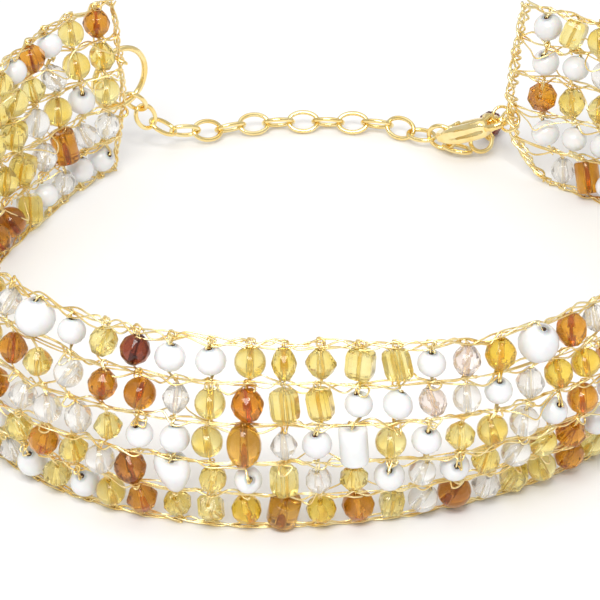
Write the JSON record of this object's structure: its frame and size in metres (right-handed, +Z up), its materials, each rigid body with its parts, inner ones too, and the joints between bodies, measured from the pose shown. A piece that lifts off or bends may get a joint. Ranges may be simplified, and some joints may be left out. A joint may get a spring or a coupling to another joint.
{
  "type": "beaded choker",
  "caption": "Wide net-worked choker of gold wire and glass beads that rings the neck, closed at the back by an extender chain and a lobster clasp with a hinged, sprung lever.",
  "frame": {"origin": "middle of the choker's footprint, on the surface that its lower edge stands on", "axes": "+Z up, along the axis of the neck; +Y towards the chain and the clasp at the back; +X towards the wearer's left, where the clasp hangs"},
  "size_m": [0.1186, 0.1164, 0.028],
  "materials": {
    "net": "polished gold-plated wire with glass beads",
    "gold_metal": "polished gold plate",
    "white_glass": "glossy opaque white glass",
    "amber_glass": "clear amber glass",
    "brown_glass": "dark red-brown glass"
  },
  "bodies": {
    "choker": {"band_stretch_01": "net", "band_stretch_02": "net", "band_stretch_03": "net", "band_stretch_04": "net", "band_stretch_05": "net", "band_stretch_06": "net", "band_stretch_07": "net", "band_stretch_08": "net", "band_stretch_09": "net", "band_stretch_10": "net", "band_stretch_11": "net", "band_stretch_12": "net", "band_stretch_13": "net", "band_stretch_14": "net", "band_stretch_15": "net", "large_white_bead_1": "white_glass", "large_white_bead_2": "white_glass", "large_white_bead_3": "white_glass", "large_white_bead_4": "white_glass", "white_drop_bead_1": "white_glass", "white_drop_bead_2": "white_glass", "white_tube_bead_1": "white_glass", "white_tube_bead_2": "white_glass", "white_tube_bead_3": "white_glass", "amber_oval_bead_1": "amber_glass", "amber_oval_bead_2": "amber_glass", "chain_hoop": "gold_metal", "hoop_tie_1": "gold_metal", "hoop_tie_2": "gold_metal", "jump_ring_1": "gold_metal", "jump_ring_2": "gold_metal", "chain_link_01": "gold_metal", "chain_link_02": "gold_metal", "chain_link_03": "gold_metal", "chain_link_04": "gold_metal", "chain_link_05": "gold_metal", "chain_link_06": "gold_metal", "chain_link_07": "gold_metal", "chain_link_08": "gold_metal", "chain_link_09": "gold_metal", "chain_link_10": "gold_metal", "chain_link_11": "gold_metal", "chain_link_12": "gold_metal", "chain_link_13": "gold_metal", "chain_link_14": "gold_metal", "chain_link_15": "gold_metal", "tail_link_1": "gold_metal", "tail_link_2": "gold_metal", "clasp_body": "gold_metal", "drop_pin": "gold_metal", "drop_bead": "brown_glass"},
    "clasp_lever": {"clasp_lever": "gold_metal"}
  },
  "joints": [
    {"name": "clasp_lever_hinge", "type": "hinge", "parent": "choker", "child": "clasp_lever", "pos_m": [0.02405, 0.04715, 0.00673], "axis": [-0.3658, 0.244, 0.8981], "range_deg": [0, 20], "stiffness_Nm_per_rad": 0.0005}
  ]
}
